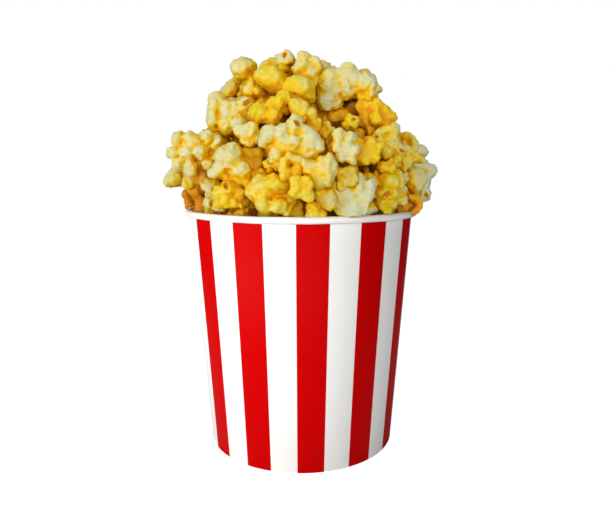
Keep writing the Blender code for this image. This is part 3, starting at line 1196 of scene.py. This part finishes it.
def settle(flakes):
    """Moves flakes apart where their lobes run into each other, and off the bucket."""
    owner = np.concatenate([np.full(len(flake.radii), i) for i, flake in enumerate(flakes)])
    offsets = np.concatenate([flake.offsets for flake in flakes])
    radii = np.concatenate([flake.radii for flake in flakes])
    freedom = np.stack([flake.freedom for flake in flakes])
    places = np.stack([flake.place for flake in flakes])
    start = places.copy()
    heap = frame["nodes"]["popcorn"].data
    tree = BVHTree.FromPolygons([v.co for v in heap.vertices], [p.vertices for p in heap.polygons])
    fillers = (freedom[:, 0] > 0.5)[owner][:, None]
    for _ in range(SETTLE_ROUNDS):
        centres = places[owner] + offsets
        apart = [push_apart(i, owner, places, centres, radii) for i in range(len(flakes))]
        off = push_off_bucket(centres, radii) + hold_in_heap(centres, radii, tree) * fillers
        order = np.argsort(np.linalg.norm(off, axis=1))
        deepest = np.zeros_like(places)
        deepest[owner[order]] = off[order]
        places += STEP_APART * np.stack(apart) * freedom + STEP_OFF * deepest
        places -= STEP_BACK * (places - start) * freedom
    for flake, place in zip(flakes, places):
        flake.place = place


# The grid that measures how crowded the heap is, for the painted shade of its gaps: its cells,
# its low corner, its size in cells, and how far in front of the corn it is read.
CELL = 2 * MM
CROWD_LOW = np.array((-0.112, -0.112, 0.130))
CROWD_CELLS = (112, 112, 76)
CROWD_REACH = 4.5 * MM


def evened(grid, axis, reach):
    """The grid with each cell made the mean of its neighbours within a reach along one axis."""
    padded = np.pad(grid, [(reach + 1, reach) if a == axis else (0, 0) for a in range(3)])
    summed = padded.cumsum(axis=axis)
    width = 2 * reach + 1
    count = grid.shape[axis]
    upper = np.take(summed, range(width, width + count), axis=axis)
    lower = np.take(summed, range(0, count), axis=axis)
    return (upper - lower) / width


def crowding(flakes):
    """A grid of how much of the space round each place is popcorn, from 0 to 1."""
    grid = np.zeros(CROWD_CELLS)
    axes = [CROWD_LOW[a] + CELL * (np.arange(CROWD_CELLS[a]) + 0.5) for a in range(3)]
    for flake in flakes:
        for centre, radius in zip(flake.place + flake.offsets, flake.radii):
            low = np.maximum(((centre - radius - CROWD_LOW) / CELL).astype(int), 0)
            high = np.minimum(((centre + radius - CROWD_LOW) / CELL).astype(int) + 1, CROWD_CELLS)
            near = [(axes[a][low[a]:high[a]] - centre[a]) ** 2 for a in range(3)]
            away = near[0][:, None, None] + near[1][None, :, None] + near[2][None, None, :]
            part = grid[low[0]:high[0], low[1]:high[1], low[2]:high[2]]
            part[away < radius**2] = 1.0
    heights = [up * MM for _, up in CORE_PROFILE]
    reaches = [radius * MM for radius, _ in CORE_PROFILE]
    reach = np.interp(axes[2], heights, reaches)
    across = np.hypot(axes[0][:, None], axes[1][None, :])
    grid[across[:, :, None] < reach[None, None, :]] = 1.0
    for axis in range(3):
        for _ in range(3):
            grid = evened(grid, axis, 2)
    return grid


def facing(places, normals):
    """How far each vertex faces out of the heap: 1 straight outwards, -1 straight inwards. Corn that
    faces away is painted golden, as painted shade.
    """
    rise = 0.35 * (places[:, 2] - RIM_HEIGHT) + 5 * MM
    outward = np.stack((places[:, 0], places[:, 1], rise), axis=1)
    outward /= np.maximum(np.linalg.norm(outward, axis=1), 1e-6)[:, None]
    return (normals * outward).sum(axis=1)


def gap_shade(places, normals, crowd):
    """How crowded the space in front of each vertex is, from the grid: the painted shade of the gaps
    between flakes.
    """
    cells = (places + normals * CROWD_REACH - CROWD_LOW) / CELL
    cells = np.clip(cells.astype(int), 0, np.array(CROWD_CELLS) - 1)
    return crowd[cells[:, 0], cells[:, 1], cells[:, 2]]


# Corn this far below the rim's middle still hangs over the rim. Lower corn is pressed inside.
HANG = 6 * MM
BUCKET_GAP = 0.3 * MM


def clear_of_bucket(places):
    """Presses in what would run into the rolled rim or the wall, as the board presses it."""
    reach, outward = round_axis(places)
    height = places[:, 2]
    curl = CURL_RADIUS + BUCKET_GAP
    inner = wall_radius(height) - BOARD / 2 - BUCKET_GAP
    under = (height < CURL_MIDDLE[1]) & (reach > inner) & (reach < CURL_MIDDLE[0] + curl)
    hung = under & (height > CURL_MIDDLE[1] - HANG)
    over_curl = np.sqrt(np.maximum(curl**2 - (reach - CURL_MIDDLE[0]) ** 2, 0.0))
    height = np.where(hung, CURL_MIDDLE[1] + over_curl, height)
    reach = np.where(under & ~hung, inner, reach)
    from_curl, gap = round_curl(reach, height)
    moved = from_curl * np.maximum(1.0, curl / gap)[:, None] + np.array(CURL_MIDDLE)
    return np.hstack((outward * moved[:, :1], moved[:, 1:]))


def join_kind(kind, source, flakes, material, crowd):
    """Joins all the flakes of one kind, each a copy of its model, into one mesh at their places."""
    model = source.data
    model.calc_loop_triangles()
    model_places, model_normals, _ = mesh_arrays(model)
    count = len(model_places)
    model_triangles = read(model.loop_triangles, "vertices", 3, np.int32)
    places, normals, triangles = [], [], []
    for index, flake in enumerate(flakes):
        turn = np.array(flake.turn.to_matrix()).T
        places.append((model_places * flake.size) @ turn + flake.place)
        normals.append(model_normals @ turn)
        triangles.append(model_triangles + index * count)
    places = clear_of_bucket(np.concatenate(places))
    normals = np.concatenate(normals)
    mesh = bpy.data.meshes.new("popcorn_" + kind)
    mesh.from_pydata(places, [], np.concatenate(triangles))
    # Painted shade: how crowded the gap in front of each vertex is, and how far it faces out of the
    # heap.
    store(mesh, "gap_shade", gap_shade(places, normals, crowd))
    store(mesh, "facing", facing(places, normals))
    for name in LOOKS:
        values = read(model.attributes[name].data, "value", 1, np.float32)
        store(mesh, name, np.tile(values.ravel(), len(flakes)))
    store(mesh, "butter_and_shade", np.repeat([flake.butter_and_shade for flake in flakes], count))
    mesh.shade_smooth()
    joined = bpy.data.objects.new("popcorn_" + kind, mesh)
    bpy.context.scene.collection.objects.link(joined)
    to_piece(joined, "popcorn_" + kind, (material,), "popped_corn", "popcorn")


# The core's outline, from its foot to its top: radius and height in millimetres.
CORE_PROFILE = (
    (0.0, 10.5), (61.0, 10.5), (70.0, 140.0), (58.0, 152.0), (56.0, 168.0), (55.0, 184.0),
    (49.0, 198.0), (42.0, 209.0), (34.0, 221.0), (22.0, 232.0), (10.0, 239.0), (0.0, 241.0),
)
CORE_SIDES = 64
CORE_VOXEL = 2.2 * MM
CORE_PUFF = -9 * MM
CORE_WRINKLE = 2 * MM
# Above this height the core is lumpy. The wall hides what lies below.
LUMPY_HEIGHT = 152 * MM
# Painted shade: the core counts as fully crowded, buttery and turned away, so it is coloured dark.
CORE_LOOKS = {"hull": 0.0, "butter_and_shade": 1.0, "gap_shade": 1.0, "facing": 0.3}


def model_core(textures, material):
    """The popcorn that lies deeper: a lumpy core that fills the bucket and shows between flakes,
    painted in the dark browns of shade.
    """
    deselect_all()
    mesh = bpy.data.meshes.new("popcorn_core")
    points = [(radius * MM, 0.0, height * MM) for radius, height in CORE_PROFILE]
    mesh.from_pydata(points, [(i, i + 1) for i in range(len(points) - 1)], [])
    core = bpy.data.objects.new("popcorn_core", mesh)
    bpy.context.scene.collection.objects.link(core)
    make_active(core)
    bpy.ops.object.mode_set(mode="EDIT")
    bpy.ops.mesh.select_all(action="SELECT")
    bpy.ops.mesh.spin(steps=CORE_SIDES, angle=2 * math.pi, center=(0, 0, 0), axis=(0, 0, 1))
    bpy.ops.mesh.select_all(action="SELECT")
    bpy.ops.mesh.remove_doubles(threshold=0.05 * MM)
    bpy.ops.mesh.normals_make_consistent(inside=False)
    bpy.ops.object.mode_set(mode="OBJECT")
    apply_modifier(core, "REMESH", mode="VOXEL", voxel_size=CORE_VOXEL)
    lumpy = [vertex.index for vertex in core.data.vertices if vertex.co.z > LUMPY_HEIGHT]
    core.vertex_groups.new(name="heap").add(lumpy, 1.0, "REPLACE")
    displace(core, textures["big_puff"], CORE_PUFF, 0.4, vertex_group="heap")
    displace(core, textures["big_wrinkle"], CORE_WRINKLE, 0.5, vertex_group="heap")
    places, normals, edges = mesh_arrays(core.data)
    store(core.data, "valley", hollowness(places, normals, edges, 30, 3 * MM))
    store(core.data, "crease", hollowness(places, normals, edges, 4, 0.8 * MM))
    for name, value in CORE_LOOKS.items():
        store(core.data, name, np.full(len(places), value))
    core.data.shade_smooth()
    to_piece(core, "popcorn_core", (material,), "popped_corn", "popcorn")


def build_popcorn(corn, shaded_deep_corn):
    """Grows a model of each kind of flake, heaps its copies, and joins them by kind."""
    textures = relief_textures()
    models = {}
    for number, kind in enumerate(FLAKES):
        models[kind] = grow_flake(kind, number, textures)
    widths = {kind: model.dimensions.x for kind, model in models.items()}
    chance = random.Random(HEAP_SEED)
    flakes = place_front_flakes(widths)
    for layer in FILLER_LAYERS:
        fill_heap(flakes, chance, widths, *layer)
    settle(flakes)
    crowd = crowding(flakes)
    for kind, model in models.items():
        same = [flake for flake in flakes if flake.kind == kind]
        join_kind(kind, model, same, corn, crowd)
        bpy.data.objects.remove(model)
    model_core(textures, shaded_deep_corn)


# --- putting it together -----------------------------------------------------------------------

FLOOR_SIDE = 6.0
FLOOR_GREYS = ((0.60, 0.60, 0.60, 1.0), (0.62, 0.62, 0.62, 1.0))
# The floor glows for the camera alone. The glow grows from a near to a far distance.
GLOW_NEAR = 0.15
GLOW_FAR = 0.9
GLOW_LEAST = 0.88


def make_floor_paint():
    """Pale grey paint that fades to white far off."""
    material, make, shader = new_material("floor_paint")
    place = make.object_place()
    shade = make.range(make.noise(place, 3.0), 0.3, 0.7)
    away = make.add("VectorMath", {0: place}, operation="LENGTH").outputs["Value"]
    glow = make.range(away, GLOW_NEAR, GLOW_FAR, GLOW_LEAST, 1.0)
    by_camera = make.add("LightPath").outputs["Is Camera Ray"]
    make.feed(shader, {
        "Base Color": make.mix(shade, *FLOOR_GREYS),
        "Roughness": 0.9,
        "Specular IOR Level": 0.1,
        "Emission Color": WHITE,
        "Emission Strength": make.math("MULTIPLY", by_camera, glow),
    })
    return material


def lay_floor(material):
    deselect_all()
    bpy.ops.mesh.primitive_plane_add(size=FLOOR_SIDE, location=(0.0, 0.0, 0.0))
    floor = bpy.context.object
    floor.name = "studio_floor"
    floor.data.materials.append(material)


def main():
    bpy.context.scene.view_settings.view_transform = "Standard"
    place_camera()
    lit_heap = bpy.data.collections.new("lit_heap")
    light_studio(lit_heap)
    grain = make_board_grain()
    striped = make_striped_print(grain)
    white = make_board("white_board", grain, PRINT_WHITE, 0.45)
    underside = make_board("plain_board", grain, PLAIN_BOARD, 0.6, 0.05)
    corn_look = make_corn_look()
    corn = make_popped_corn("popped_corn", corn_look, {})
    shaded_deep_corn = make_popped_corn("shaded_deep_corn", corn_look, SHADED_DEEP_CORN)
    lay_floor(make_floor_paint())
    model_wall(striped, white)
    model_rim(white)
    model_lap(striped, white)
    base = frame["nodes"]["bucket_base"]
    base.data.materials.clear()
    base.data.materials.append(underside)
    build_popcorn(corn, shaded_deep_corn)
    for piece in bpy.context.scene.objects:
        if piece.name.startswith("popcorn_"):
            lit_heap.objects.link(piece)


main()
